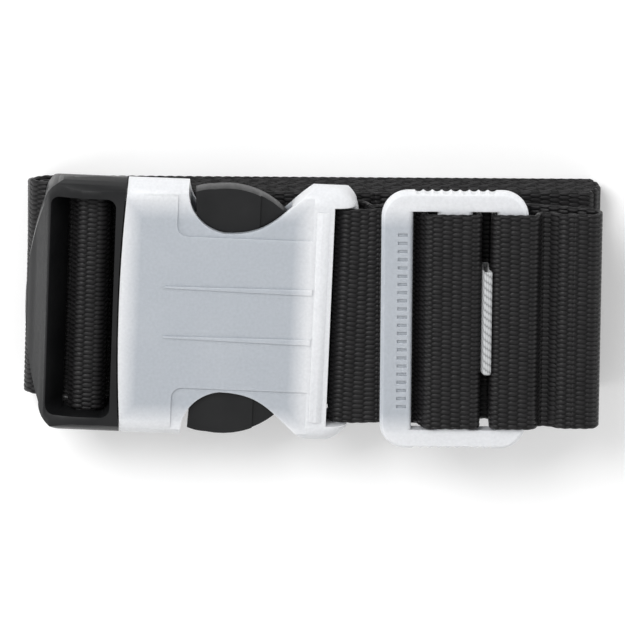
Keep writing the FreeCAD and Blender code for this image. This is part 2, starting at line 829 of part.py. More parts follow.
def slider():
    """A flat three-bar frame with rounded bars, finger bumps at both ends and teeth on its left bar."""
    plate = box(slider_left, slider_right, -buckle_half, buckle_half, slider_floor, slider_top)
    plate = plate.makeFillet(slider_corner, edges_where(plate, is_upright))
    rim = edges_where(plate, lambda e: abs(abs(e.CenterOfMass.z - slider_floor - slider_height / 2)
                                           - slider_height / 2) < 1e-6)
    plate = plate.makeChamfer(slider_rim_bevel, rim)
    for x0, x1 in ((slot1_left, slot1_right), (slot2_left, slot2_right)):
        plate = plate.cut(box(x0, x1, -slot_half, slot_half, slider_floor - 1, slider_top + 1))
    slot_rims = edges_where(plate, lambda e: is_slot_rim(e))
    plate = plate.makeFillet(slider_bar_round, slot_rims)
    # finger bumps: hollows between them are scooped out of both ends
    middle = (slider_left + slider_right) / 2
    for n in range(grip_bumps + 1):
        x = middle + (n - grip_bumps / 2) * grip_pitch
        radius = (grip_pitch**2 / 4 + grip_depth**2) / (2 * grip_depth)
        for side in (1, -1):
            y = side * (buckle_half + radius * 0.8 - grip_depth)
            hollow = Part.makeCylinder(radius * 0.8, slider_height + 2, Vector(x, y, slider_floor - 1))
            plate = plate.cut(hollow)
    # teeth along the left bar's inner edge, as pockets between them
    count = int((2 * slot_half - 8.0) // tooth_pitch)
    for n in range(count):
        y = (n - (count - 1) / 2) * tooth_pitch
        plate = plate.cut(
            box(
                slot1_left - slider_bar_round - 0.05 - tooth_length,
                slot1_left - slider_bar_round - 0.05,
                y - tooth_width / 2,
                y + tooth_width / 2,
                slider_top - tooth_depth,
                slider_top + 1,
            )
        )
    return plate


# ---------------------------------------------------------------- every node, and where it goes
nodes = {
    "folded_webbing": folded_webbing(),
    "upper_return": upper_return(),
    "wrap_lead": wrap_lead(),
    "slider_run": slider_run(),
    "slider_loop": slider_loop(),
    "adjuster_legs": adjuster_legs(),
    "left_end_wrap": left_end_wrap(),
    "plug_loop": plug_loop(),
    "label": label(),
    "plug_stitches": plug_stitches(),
    "slider_stitches": slider_stitches(),
    "socket_shell": on_bundle(socket()),
    "plug_frame": on_bundle(plug()),
    "upper_arm": on_bundle(arm(1)),
    "lower_arm": on_bundle(arm(-1)),
    "slider_frame": slider(),
}

if __name__ == "__main__":
    os.makedirs("parts", exist_ok=True)
    for name, shape in nodes.items():
        shape.exportStep("parts/" + name + ".step")
        print(f"{name:18s} solids {len(shape.Solids)}  volume {shape.Volume:.1f}  valid {shape.isValid()}")
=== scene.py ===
import math

import bmesh
import bpy
from mathutils import Matrix, Vector


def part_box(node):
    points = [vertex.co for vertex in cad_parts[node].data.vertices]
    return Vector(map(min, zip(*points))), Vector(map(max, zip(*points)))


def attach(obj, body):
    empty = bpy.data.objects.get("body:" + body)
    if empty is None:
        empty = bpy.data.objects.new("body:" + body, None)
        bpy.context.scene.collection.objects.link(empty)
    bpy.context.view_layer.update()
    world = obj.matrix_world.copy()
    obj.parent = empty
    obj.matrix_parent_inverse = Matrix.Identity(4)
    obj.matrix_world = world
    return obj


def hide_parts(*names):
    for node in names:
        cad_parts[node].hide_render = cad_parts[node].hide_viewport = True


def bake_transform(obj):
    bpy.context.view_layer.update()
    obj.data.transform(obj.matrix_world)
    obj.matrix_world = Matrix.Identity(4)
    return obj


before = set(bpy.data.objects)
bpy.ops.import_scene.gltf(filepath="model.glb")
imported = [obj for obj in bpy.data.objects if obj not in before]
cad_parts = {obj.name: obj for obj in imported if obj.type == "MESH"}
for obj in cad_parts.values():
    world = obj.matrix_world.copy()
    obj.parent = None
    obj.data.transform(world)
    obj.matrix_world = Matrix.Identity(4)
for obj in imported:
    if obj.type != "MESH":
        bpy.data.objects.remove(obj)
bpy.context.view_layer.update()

mm = 0.001

# ------------------------------------------------------------------ camera, floor and light
# A very long lens looks down on the buckle's face, tipped a little from the far selvedge, over a pale sweep
# under soft boxes.
tilt = math.radians(17.0)
roll = math.radians(0.4)
distance = 1500 * mm
aim = Vector((0, 0, 25 * mm))
lens_mm = 387.5
aim_right = -0.000223
aim_up = -0.000297

forward = Vector((0, -math.sin(tilt), -math.cos(tilt)))
level_right = Vector((1, 0, 0))
level_up = Vector((0, math.cos(tilt), -math.sin(tilt)))
right = level_right * math.cos(roll) + level_up * math.sin(roll)
up = level_up * math.cos(roll) - level_right * math.sin(roll)
eye = aim - (forward + right * aim_right + up * aim_up) * distance
camera = bpy.data.objects.new("camera", bpy.data.cameras.new("camera"))
camera.data.lens = lens_mm
camera.data.sensor_width = 36.0
camera.data.clip_start = 0.01
camera.data.clip_end = 20.0
camera.matrix_world = Matrix(
    (
        (right.x, up.x, -forward.x, eye.x),
        (right.y, up.y, -forward.y, eye.y),
        (right.z, up.z, -forward.z, eye.z),
        (0, 0, 0, 1),
    )
)
bpy.context.scene.collection.objects.link(camera)
bpy.context.scene.camera = camera


def new_material(name):
    """A material with its node tree and its Principled shader."""
    material = bpy.data.materials.new(name)
    material.use_nodes = True
    return material, material.node_tree, material.node_tree.nodes["Principled BSDF"]


floor_half = 1.5
floor_mesh = bpy.data.meshes.new("floor")
corners = [(x, y, -0.05 * mm) for x, y in ((-1, -1), (1, -1), (1, 1), (-1, 1))]
floor_mesh.from_pydata([(x * floor_half, y * floor_half, z) for x, y, z in corners], [], [(0, 1, 2, 3)])
floor = bpy.data.objects.new("floor", floor_mesh)
bpy.context.scene.collection.objects.link(floor)
floor_paint, _, floor_shader = new_material("floor_white")
floor_shader.inputs["Base Color"].default_value = (0.93, 0.93, 0.93, 1)
floor_shader.inputs["Roughness"].default_value = 0.9
floor_shader.inputs["Specular IOR Level"].default_value = 0.1
floor_shader.inputs["Emission Color"].default_value = (1, 1, 1, 1)
floor_shader.inputs["Emission Strength"].default_value = 0.12
floor_mesh.materials.append(floor_paint)

world = bpy.data.worlds.new("studio")
world.use_nodes = True
world.node_tree.nodes["Background"].inputs["Color"].default_value = (1, 1, 1, 1)
world.node_tree.nodes["Background"].inputs["Strength"].default_value = 0.56
bpy.context.scene.world = world
bpy.context.scene.view_settings.view_transform = "Standard"


def soft_box(name, place, size, watts):
    """A square soft box that faces the strap."""
    lamp = bpy.data.lights.new(name, "AREA")
    lamp.shape = "SQUARE"
    lamp.size = size
    lamp.energy = watts
    box = bpy.data.objects.new(name, lamp)
    box.location = place
    box.rotation_mode = "QUATERNION"
    box.rotation_quaternion = (Vector(place) - aim).to_track_quat("Z", "Y")
    bpy.context.scene.collection.objects.link(box)


soft_box("overhead_box", (-0.35, 0.55, 0.85), 0.45, 7.2)
soft_box("left_box", (-0.9, -0.25, 0.35), 0.35, 2.2)
soft_box("right_box", (0.9, 0.15, 0.35), 0.35, 2.2)


# ------------------------------------------------------------------ webbing
# Woven polypropylene, 50 mm wide: thick warp yarns float over the weft in columns, each column set half
# a yarn off the last, which gives the wavy face and the scalloped selvedge.
web_width = 50.0
half_web = 0.55
run_pitch = 1.2
column = 2.15
row = 1.1
float_reach = 0.66
float_breadth = 0.53


def math_node(tree, operation, first, second=None, third=None):
    """Adds one Math node, to a geometry or a shader tree, and gives its output."""
    node = tree.nodes.new("ShaderNodeMath")
    node.operation = operation
    for socket, value in zip(node.inputs, (first, second, third)):
        if isinstance(value, (int, float)):
            socket.default_value = value
        elif value is not None:
            tree.links.new(value, socket)
    return node.outputs[0]


def make_floats_group(kind):
    """A node group that gives the height, 0 to 1, of the yarns that float over a weave.

    Places and pitches are in millimetres. Each column of floats is moved across by step yarns from the
    one before it: 0.5 is a plain rib, and 0.25 a twill.
    """
    tree = bpy.data.node_groups.new("yarn_floats", kind)
    for name in ("Along", "Across", "Column Pitch", "Row Pitch", "Step"):
        tree.interface.new_socket(name, in_out="INPUT", socket_type="NodeSocketFloat")
    tree.interface.new_socket("Height", in_out="OUTPUT", socket_type="NodeSocketFloat")
    given = tree.nodes.new("NodeGroupInput").outputs
    columns = math_node(tree, "DIVIDE", given["Along"], given["Column Pitch"])
    rows = math_node(tree, "DIVIDE", given["Across"], given["Row Pitch"])
    index = math_node(tree, "FLOOR", columns)
    place = math_node(tree, "SUBTRACT", math_node(tree, "SUBTRACT", columns, index), 0.5)
    neighbour = math_node(tree, "SIGN", place)

    def one_float(number, from_middle):
        moved = math_node(tree, "MULTIPLY_ADD", number, given["Step"], rows)
        offset = math_node(tree, "SUBTRACT", moved, math_node(tree, "ROUND", moved))
        length = math_node(tree, "ABSOLUTE", math_node(tree, "DIVIDE", from_middle, float_reach))
        breadth = math_node(tree, "ABSOLUTE", math_node(tree, "DIVIDE", offset, float_breadth))
        ends = math_node(tree, "SUBTRACT", 1.0, math_node(tree, "POWER", length, 2.4))
        left = math_node(tree, "SUBTRACT", ends, math_node(tree, "POWER", breadth, 2.0))
        return math_node(tree, "SQRT", math_node(tree, "MAXIMUM", left, 0.0))

    here = one_float(index, place)
    beside = one_float(
        math_node(tree, "ADD", index, neighbour), math_node(tree, "SUBTRACT", place, neighbour)
    )
    height = math_node(tree, "MAXIMUM", here, beside)
    tree.links.new(height, tree.nodes.new("NodeGroupOutput").inputs["Height"])
    return tree


floats_groups = {kind: make_floats_group(kind) for kind in ("GeometryNodeTree", "ShaderNodeTree")}


def yarn_floats(tree, along, across, column_pitch, row_pitch, step):
    """Places the group in a tree and gives its height."""
    node = tree.nodes.new(tree.bl_idname.replace("NodeTree", "NodeGroup"))
    node.node_tree = floats_groups[tree.bl_idname]
    for name, value in zip(node.inputs.keys(), (along, across, column_pitch, row_pitch, step)):
        if isinstance(value, (int, float)):
            node.inputs[name].default_value = value
        else:
            tree.links.new(value, node.inputs[name])
    return node.outputs["Height"]


def unevenness(tree, along, across, amount):
    """The place across, moved a little from yarn to yarn, because no two yarns lie quite straight."""
    spot = tree.nodes.new("ShaderNodeCombineXYZ")
    tree.links.new(math_node(tree, "MULTIPLY", along, 0.33), spot.inputs[0])
    tree.links.new(math_node(tree, "MULTIPLY", across, 0.5), spot.inputs[1])
    noise = tree.nodes.new("ShaderNodeTexNoise")
    noise.inputs["Scale"].default_value = 1.0
    noise.inputs["Detail"].default_value = 2.0
    tree.links.new(spot.outputs[0], noise.inputs["Vector"])
    centred = math_node(tree, "SUBTRACT", noise.outputs["Fac"], 0.5)
    return math_node(tree, "ADD", across, math_node(tree, "MULTIPLY", centred, amount))


def make_weaving_tree():
    """Geometry nodes that turn a route in the XZ plane into a woven strap with a yarn relief."""
    tree = bpy.data.node_groups.new("woven_strap", "GeometryNodeTree")
    tree.interface.new_socket("Geometry", in_out="INPUT", socket_type="NodeSocketGeometry")
    numbers = {
        "Width": web_width,
        "Half Thickness": 0.36,
        "Relief": 0.24,
        "Column Pitch": column,
        "Row Pitch": row,
        "Step": 0.5,
        "Along Spacing": 0.27,
        "Edge Crowding": 1.0,
        "Edge Round": 0.6,
        "Scallop": 0.14,
        "Looseness": 0.35,
        "Start": 0.0,
    }
    for name, value in numbers.items():
        socket = tree.interface.new_socket(name, in_out="INPUT", socket_type="NodeSocketFloat")
        socket.default_value = value
    points = tree.interface.new_socket("Points Round", in_out="INPUT", socket_type="NodeSocketInt")
    points.default_value = 521
    turn = tree.interface.new_socket("Across", in_out="INPUT", socket_type="NodeSocketVector")
    turn.default_value = (0, 1, 0)
    tree.interface.new_socket("Material", in_out="INPUT", socket_type="NodeSocketMaterial")
    tree.interface.new_socket("Geometry", in_out="OUTPUT", socket_type="NodeSocketGeometry")
    nodes, links = tree.nodes, tree.links
    given = nodes.new("NodeGroupInput").outputs

    route_length = nodes.new("GeometryNodeCurveLength")
    links.new(given["Geometry"], route_length.inputs["Curve"])
    length_mm = math_node(tree, "DIVIDE", route_length.outputs["Length"], mm)
    stations = math_node(tree, "CEIL", math_node(tree, "DIVIDE", length_mm, given["Along Spacing"]))
    grid = nodes.new("GeometryNodeMeshGrid")
    grid.inputs["Size X"].default_value = 1.0
    grid.inputs["Size Y"].default_value = 1.0
    links.new(math_node(tree, "ADD", stations, 1.0), grid.inputs["Vertices X"])
    links.new(given["Points Round"], grid.inputs["Vertices Y"])

    place = nodes.new("ShaderNodeSeparateXYZ")
    links.new(nodes.new("GeometryNodeInputPosition").outputs[0], place.inputs[0])
    from_start = math_node(tree, "MULTIPLY", math_node(tree, "ADD", place.outputs["X"], 0.5), length_mm)
    along = math_node(tree, "ADD", from_start, given["Start"])
    # round the section: 0 to 0.5 is the upper face, 0.5 to 1 the lower one
    around = math_node(tree, "ADD", place.outputs["Y"], 0.5)
    face = math_node(tree, "SIGN", math_node(tree, "SUBTRACT", 0.5, around))
    folded = math_node(tree, "ABSOLUTE", math_node(tree, "SUBTRACT", around, 0.5))
    share = math_node(tree, "SUBTRACT", 1.0, math_node(tree, "MULTIPLY", folded, 4.0))
    edge_side = math_node(tree, "SIGN", share)
    inward = math_node(tree, "SUBTRACT", 1.0, math_node(tree, "ABSOLUTE", share))
    crowded = math_node(tree, "POWER", math_node(tree, "MAXIMUM", inward, 0.0), given["Edge Crowding"])
    half_width = math_node(tree, "MULTIPLY", given["Width"], 0.5)
    flat_across = math_node(
        tree,
        "MULTIPLY",
        math_node(tree, "MULTIPLY", math_node(tree, "SUBTRACT", 1.0, crowded), edge_side),
        half_width,
    )
    # the selvedge: rounded in section, and drawn in between one column and the next
    from_edge = math_node(tree, "SUBTRACT", half_width, math_node(tree, "ABSOLUTE", flat_across))
    in_round = math_node(tree, "DIVIDE", from_edge, given["Edge Round"])
    rim = math_node(tree, "SUBTRACT", 1.0, math_node(tree, "MINIMUM", in_round, 1.0))
    rim_squared = math_node(tree, "MULTIPLY", rim, rim)
    fullness = math_node(tree, "SQRT", math_node(tree, "SUBTRACT", 1.0, rim_squared))
    columns = math_node(tree, "DIVIDE", along, given["Column Pitch"])
    wave = math_node(tree, "COSINE", math_node(tree, "MULTIPLY", columns, math.pi))
    pinch = math_node(tree, "SUBTRACT", 1.0, math_node(tree, "ABSOLUTE", wave))
    drawn_in = math_node(tree, "MULTIPLY", math_node(tree, "MULTIPLY", pinch, given["Scallop"]), rim)
    across = math_node(
        tree, "SUBTRACT", flat_across, math_node(tree, "MULTIPLY", drawn_in, edge_side)
    )
    uneven = unevenness(tree, along, flat_across, given["Looseness"])
    height = yarn_floats(tree, along, uneven, given["Column Pitch"], given["Row Pitch"], given["Step"])
    lift = math_node(tree, "MULTIPLY_ADD", height, given["Relief"], given["Half Thickness"])
    out = math_node(tree, "MULTIPLY", math_node(tree, "MULTIPLY", lift, fullness), face)

    sample = nodes.new("GeometryNodeSampleCurve")
    sample.mode = "LENGTH"
    links.new(given["Geometry"], sample.inputs["Curves"])
    links.new(math_node(tree, "MULTIPLY", from_start, mm), sample.inputs["Length"])
    normal = nodes.new("ShaderNodeVectorMath")
    normal.operation = "CROSS_PRODUCT"
    links.new(sample.outputs["Tangent"], normal.inputs[0])
    links.new(given["Across"], normal.inputs[1])

    def scaled(vector, amount_mm):
        node = nodes.new("ShaderNodeVectorMath")
        node.operation = "SCALE"
        links.new(vector, node.inputs[0])
        links.new(math_node(tree, "MULTIPLY", amount_mm, mm), node.inputs["Scale"])
        return node.outputs[0]

    def added(first, second):
        node = nodes.new("ShaderNodeVectorMath")
        node.operation = "ADD"
        links.new(first, node.inputs[0])
        links.new(second, node.inputs[1])
        return node.outputs[0]

    spot = added(
        sample.outputs["Position"], added(scaled(given["Across"], across), scaled(normal.outputs[0], out))
    )
    # the weave's own map, in millimetres along and across, is kept before the grid is bent
    weave_map = nodes.new("ShaderNodeCombineXYZ")
    links.new(along, weave_map.inputs[0])
    links.new(uneven, weave_map.inputs[1])
    store = nodes.new("GeometryNodeStoreNamedAttribute")
    store.data_type = "FLOAT2"
    store.domain = "CORNER"
    store.inputs["Name"].default_value = "weave_map"
    links.new(grid.outputs["Mesh"], store.inputs["Geometry"])
    links.new(weave_map.outputs[0], store.inputs["Value"])
    bent = nodes.new("GeometryNodeSetPosition")
    links.new(store.outputs["Geometry"], bent.inputs["Geometry"])
    links.new(spot, bent.inputs["Position"])
    joined = nodes.new("GeometryNodeMergeByDistance")
    joined.inputs["Distance"].default_value = 0.002 * mm
    links.new(bent.outputs["Geometry"], joined.inputs["Geometry"])
    realized = nodes.new("GeometryNodeRealizeInstances")
    links.new(joined.outputs["Geometry"], realized.inputs["Geometry"])
    painted = nodes.new("GeometryNodeSetMaterial")
    links.new(realized.outputs["Geometry"], painted.inputs["Geometry"])
    links.new(given["Material"], painted.inputs["Material"])
    links.new(painted.outputs["Geometry"], nodes.new("NodeGroupOutput").inputs["Geometry"])
    return tree


weaving_tree = make_weaving_tree()


def laid_route(name, corners_mm):
    """A curve along (x, z, bend radius) corners, straight between tangent arcs, in the XZ plane."""
    points = [Vector((corners_mm[0][0], 0, corners_mm[0][1]))]
    for before, corner, after in zip(corners_mm, corners_mm[1:], corners_mm[2:]):
        here = Vector((corner[0], 0, corner[1]))
        to = (here - Vector((before[0], 0, before[1]))).normalized()
        on = (Vector((after[0], 0, after[1])) - here).normalized()
        angle = to.angle(on)
        if angle < 1e-4:
            continue
        setback = corner[2] * math.tan(angle / 2)
        start = here - to * setback
        side = (on - to * to.dot(on)).normalized()
        steps = max(6, math.ceil(angle / math.radians(7.5)))
        for n in range(steps + 1):
            bend = angle * n / steps
            forth = to * (corner[2] * math.sin(bend))
            points.append(start + forth + side * (corner[2] * (1 - math.cos(bend))))
    points.append(Vector((corners_mm[-1][0], 0, corners_mm[-1][1])))
    curve = bpy.data.curves.new(name, "CURVE")
    curve.dimensions = "3D"
    spline = curve.splines.new("POLY")
    spline.points.add(len(points) - 1)
    for point, place in zip(spline.points, points):
        point.co = (place.x * mm, place.y * mm, place.z * mm, 1)
    return curve


buckle_turn = math.radians(-2.0)
buckle_turn_x = 5.0
buckle_pivot = Matrix.Translation((buckle_turn_x * mm, 0, 0))
onto_buckle = buckle_pivot @ Matrix.Rotation(buckle_turn, 4, "Z") @ buckle_pivot.inverted()


def partly_turned(place, share):
    """A point of the strap, turned on to the buckle's axis by a share from 0 to 1."""
    eased = share * share * (3 - 2 * share)
    return place.lerp(onto_buckle @ place, eased)


def route_length(curve):
    points = [point.co.to_3d() for point in curve.splines[0].points]
    return sum((after - before).length for before, after in zip(points, points[1:])) / mm


def woven(name, corners_mm, material, settle=None, **numbers):
    """A woven piece along a route, as one closed mesh, and the place along the web where it ends.

    settle moves the piece's points, in metres, where it doesn't lie straight.
    """
    route = bpy.data.objects.new(name + "_route", laid_route(name, corners_mm))
    end = numbers.get("Start", 0.0) + route_length(route.data)
    bpy.context.scene.collection.objects.link(route)
    modifier = route.modifiers.new("weaving", "NODES")
    modifier.node_group = weaving_tree
    values = dict(numbers, Material=material)
    for item in weaving_tree.interface.items_tree:
        key = item.name.replace(" ", "_")
        if item.in_out == "INPUT" and key in values:
            modifier[item.identifier] = values[key]
    graph = bpy.context.evaluated_depsgraph_get()
    graph.update()
    made = bpy.data.meshes.new_from_object(route.evaluated_get(graph), depsgraph=graph)
    bpy.data.objects.remove(route)
    sheet = bmesh.new()
    sheet.from_mesh(made)
    rims = [edge for edge in sheet.edges if edge.is_boundary]
    bmesh.ops.holes_fill(sheet, edges=rims, sides=0)
    bmesh.ops.recalc_face_normals(sheet, faces=sheet.faces)
    for side in sheet.faces:
        side.smooth = True
    if settle:
        for point in sheet.verts:
            point.co = settle(point.co)
    sheet.to_mesh(made)
    sheet.free()
    made.name = name
    piece = bpy.data.objects.new(name, made)
    bpy.context.scene.collection.objects.link(piece)
    return piece, end


def webbing_material(name, relief_bump):
    """Black polypropylene yarn: painted shade darkens its colour in the gaps between the floats, and it has a
    soft sheen and fine filaments on the floats.
    """
    material, tree, shader = new_material(name)
    nodes, links = tree.nodes, tree.links
    weave_map = nodes.new("ShaderNodeUVMap")
    weave_map.uv_map = "weave_map"
    split = nodes.new("ShaderNodeSeparateXYZ")
    links.new(weave_map.outputs[0], split.inputs[0])
    along, across = split.outputs["X"], split.outputs["Y"]
    height = yarn_floats(tree, along, across, column, row, 0.5)
    # filaments run along each yarn, a few to its width
    strand = nodes.new("ShaderNodeCombineXYZ")
    links.new(math_node(tree, "MULTIPLY", along, 0.6), strand.inputs[0])
    links.new(math_node(tree, "MULTIPLY", across, 9.0), strand.inputs[1])
    filaments = nodes.new("ShaderNodeTexNoise")
    filaments.inputs["Scale"].default_value = 1.0
    filaments.inputs["Detail"].default_value = 3.0
    links.new(strand.outputs[0], filaments.inputs["Vector"])
    patches = nodes.new("ShaderNodeTexNoise")
    patches.inputs["Scale"].default_value = 0.22
    patches.inputs["Detail"].default_value = 2.0
    links.new(weave_map.outputs[0], patches.inputs["Vector"])
    # painted shade: the colour darkens from the floats' crowns down into the gaps between them
    colour = nodes.new("ShaderNodeValToRGB")
    colour.color_ramp.elements[0].color = (0.0006, 0.0006, 0.0007, 1)
    colour.color_ramp.elements[1].position = 0.95
    colour.color_ramp.elements[1].color = (0.0150, 0.0142, 0.0150, 1)
    middle = colour.color_ramp.elements.new(0.55)
    middle.color = (0.0024, 0.0022, 0.0025, 1)
    streaked = math_node(tree, "MULTIPLY_ADD", filaments.outputs["Fac"], 0.7, 0.62)
    patched = math_node(tree, "MULTIPLY_ADD", patches.outputs["Fac"], 0.5, 0.75)
    shade = math_node(tree, "MULTIPLY", math_node(tree, "MULTIPLY", height, streaked), patched)
    links.new(shade, colour.inputs["Fac"])
    links.new(colour.outputs["Color"], shader.inputs["Base Color"])
    dull = math_node(tree, "MULTIPLY_ADD", filaments.outputs["Fac"], 0.25, 0.30)
    links.new(dull, shader.inputs["Roughness"])
    shader.inputs["Specular IOR Level"].default_value = 0.22
    shader.inputs["Sheen Weight"].default_value = 0.01
    shader.inputs["Sheen Roughness"].default_value = 0.5
    relief = nodes.new("ShaderNodeBump")
    relief.inputs["Strength"].default_value = relief_bump
    relief.inputs["Distance"].default_value = 0.25 * mm
    links.new(height, relief.inputs["Height"])
    fine = nodes.new("ShaderNodeBump")
    fine.inputs["Strength"].default_value = 0.9
    fine.inputs["Distance"].default_value = 0.05 * mm
    links.new(filaments.outputs["Fac"], fine.inputs["Height"])
    links.new(relief.outputs["Normal"], fine.inputs["Normal"])
    links.new(fine.outputs["Normal"], shader.inputs["Normal"])
    return material


web_carved = webbing_material("webbing_black", 0.6)
web_plain = webbing_material("webbing_black_inner", 1.0)

# The slider's bars and slots, and where the web turns and is cut beside them
tight_bend = 1.4
bar_corner_bend = 2.3
bar_clearance = 0.15
end_bar = 7.0
centre_bar = 7.8
slider_slot = 5.4
slider_to_legs = 0.4
hump_overhang = 1.2
hump_run_out = 1.6
dip_length = 6.8
valley_rise = 1.1
crest_drop = 1.0
loop_inset = 1.35
seam_inset = 1.2
slider_low, slider_high = [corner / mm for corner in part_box("slider_frame")]
legs_low, legs_high = [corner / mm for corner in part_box("adjuster_legs")]
run_low, run_high = [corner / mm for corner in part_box("slider_run")]
slider_left, slider_right = slider_low.x, slider_high.x
leg_z = legs_high.z - half_web
low_leg_z = legs_low.z + half_web
running_z = run_low.z + half_web
hump_z = run_high.z - half_web
tail_z = leg_z - run_pitch
legs_cut = slider_left - slider_to_legs
slot1_left = slider_left + end_bar
slot2_left = slot1_left + slider_slot + centre_bar
slot2_right = slot2_left + slider_slot
bar_wrap = bar_clearance + half_web
hump_right = slider_right + half_web + hump_overhang
hump_cut = hump_right + hump_run_out
crest_cut = hump_cut + dip_length
valley_z = slider_low.z + valley_rise
crest_z = hump_z - crest_drop
loop_down = slot2_left + loop_inset
seam_end = slider_left + seam_inset


def finish_web(piece, node, body=None):
    """The woven piece stands for its plain ribbon in the frame."""
    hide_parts(node)
    if body:
        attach(piece, body)


# The sewn end: from its seam it goes on under the centre bar, back over it, and down the first slot.
loop_up = slot1_left + 1.2
turn_under = slot1_left + 2.6
slider_loop, laid = woven(
    "sewn_end",
    [
        (seam_end, tail_z, 0),
        (turn_under, tail_z, 3.0),
        (turn_under + 3.0, leg_z, 3.0),
        (loop_down, leg_z, tight_bend),
        (loop_down, slider_high.z - 1.6, 2.0),
        (loop_down + 0.7, hump_z, tight_bend),
        (loop_up + 2.4, hump_z, tight_bend),
        (loop_up, leg_z, tight_bend),
        (legs_cut, leg_z, 0),
    ],
    web_carved,
)
finish_web(slider_loop, "slider_loop", "slider")

# The two legs that go round the socket's bar. They turn on to the buckle's axis as they near it.
socket_end = 9.7
socket_bar_width = 3.8
bar_left = socket_end - socket_bar_width - bar_wrap


def near_the_slider(place):
    """A point of the legs, turned less and less towards the slider."""
    return partly_turned(place, min(1.0, (legs_cut * mm - place.x) / ((legs_cut - socket_end) * mm)))


adjuster, laid = woven(
    "socket_legs",
    [
        (legs_cut, leg_z, 0),
        (bar_left, leg_z, bar_corner_bend),
        (bar_left, low_leg_z, bar_corner_bend),
        (socket_end + 0.9, low_leg_z, 1.0),
        (legs_cut - 1.9, running_z, 1.0),
        (legs_cut, running_z, 0),
    ],
    web_carved,
    settle=near_the_slider,
    Start=laid,
)
finish_web(adjuster, "adjuster_legs")
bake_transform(adjuster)

# The running web: under two of the slider's bars, up through its second slot and over its right bar.
up_through = slot2_right - bar_wrap
slider_run, laid = woven(
    "running_web",
    [
        (legs_cut, running_z, 0),
        (up_through, running_z, tight_bend),
        (up_through, hump_z, tight_bend),
        (hump_right, hump_z, tight_bend),
        (hump_right + 0.5, valley_z, 1.0),
        (hump_cut, valley_z, 0),
    ],
    web_carved,
    Start=laid,
)
finish_web(slider_run, "slider_run", "slider")

# The short dip between the hump over the slider's right bar and the crest.
wrap_lead, laid = woven(
    "dip_run",
    [
        (hump_cut, valley_z, 0),
        (hump_cut + 1.6, valley_z, 2.4),
        (crest_cut - 2.4, crest_z, 2.4),
        (crest_cut, crest_z, 0),
    ],
    web_carved,
    Start=laid,
)
finish_web(wrap_lead, "wrap_lead")
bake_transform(wrap_lead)

# The run that folds back at the right end and slopes down to the bundle.
upper_fold = 64.1
upper_fold_height = 4.4
fold_bend = 0.46 * upper_fold_height
slope_foot = 17.0
left_folds = [-58.8, -60.9, -61.2, -60.8, -58.4]
right_folds = [62.6, 63.8, 64.3, 64.1, 63.0]
stack_runs = 2 * len(left_folds) + 1


def run_height(run):
    """The centreline height of one of the bundle's runs, counted from 1 at the bottom."""
    return half_web + (run - 1) * run_pitch


upper_return, laid = woven(
    "sloping_run",
    [
        (crest_cut, crest_z, 0),
        (upper_fold - 0.3, crest_z, fold_bend),
        (upper_fold, crest_z - upper_fold_height, fold_bend),
        (slope_foot, run_height(stack_runs), 12.0),
        (slope_foot - 3.0, run_height(stack_runs), 0),
    ],
    web_carved,
    Start=laid,
    Along_Spacing=0.36,
    Points_Round=441,
)
finish_web(upper_return, "upper_return", "strap")

# The runs folded to and fro under the buckle. Only their selvedges, ends and outer faces are seen, so
# their yarns are in the material alone.
floor_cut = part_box("left_end_wrap")[1].x / mm + 0.1
stack_route = [(slope_foot - 3.0, run_height(stack_runs), 0)]
level = stack_runs
for left_fold, right_fold in zip(left_folds, right_folds):
    for fold, from_level in ((left_fold, level), (right_fold, level - 1)):
        stack_route.append((fold, run_height(from_level), run_pitch / 2))
        stack_route.append((fold, run_height(from_level - 1), run_pitch / 2))
    level -= 2
stack_route.append((floor_cut, run_height(1), 0))
stack, laid = woven(
    "folded_runs",
    stack_route,
    web_plain,
    Start=laid,
    Half_Thickness=half_web,
    Relief=0.0,
    Along_Spacing=0.72,
    Edge_Crowding=2.2,
    Points_Round=45,
)
finish_web(stack, "folded_webbing", "strap")

# The web round the bundle's left end, which turns on to the buckle's axis as it rises.
left_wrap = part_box("left_end_wrap")[0].x / mm + half_web
left_bend = 5.0
left_upper_bend = 3.4
lower_leg_z = run_height(stack_runs) + run_pitch + 0.1
lead_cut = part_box("plug_loop")[0].x / mm - 0.1
floor_z = run_height(1)


def up_the_left_end(place):
    """A point of the left end's web, turned more and more towards the plug."""
    climbed = (place.z / mm - floor_z - 1.0) / (lower_leg_z - floor_z - 2.0)
    return partly_turned(place, max(0.0, min(1.0, climbed)))


left_end, laid = woven(
    "left_end_web",
    [
        (floor_cut, floor_z, 0),
        (left_wrap, floor_z, left_bend),
        (left_wrap, lower_leg_z, left_upper_bend),
        (lead_cut, lower_leg_z, 0),
    ],
    web_carved,
    settle=up_the_left_end,
    Start=laid,
)
finish_web(left_end, "left_end_wrap")
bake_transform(left_end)

# The web sewn round the plug's bar, with both legs leaving under the end bar.
plug_bar_left, plug_bar_right = -52.45, -46.65
plug_high_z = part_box("plug_loop")[1].z / mm - half_web
plug_left, plug_right = plug_bar_left - bar_wrap, plug_bar_right + bar_wrap
plug_loop, _ = woven(
    "plug_web",
    [
        (lead_cut, lower_leg_z, 0),
        (plug_right, lower_leg_z, bar_corner_bend),
        (plug_right, plug_high_z, bar_corner_bend),
        (plug_left, plug_high_z, bar_corner_bend),
        (plug_left, lower_leg_z + run_pitch, bar_corner_bend),
        (lead_cut, lower_leg_z + run_pitch, 0),
    ],
    web_carved,
    settle=lambda place: partly_turned(place, 1.0),
    Start=laid,
)
finish_web(plug_loop, "plug_loop", "plug")


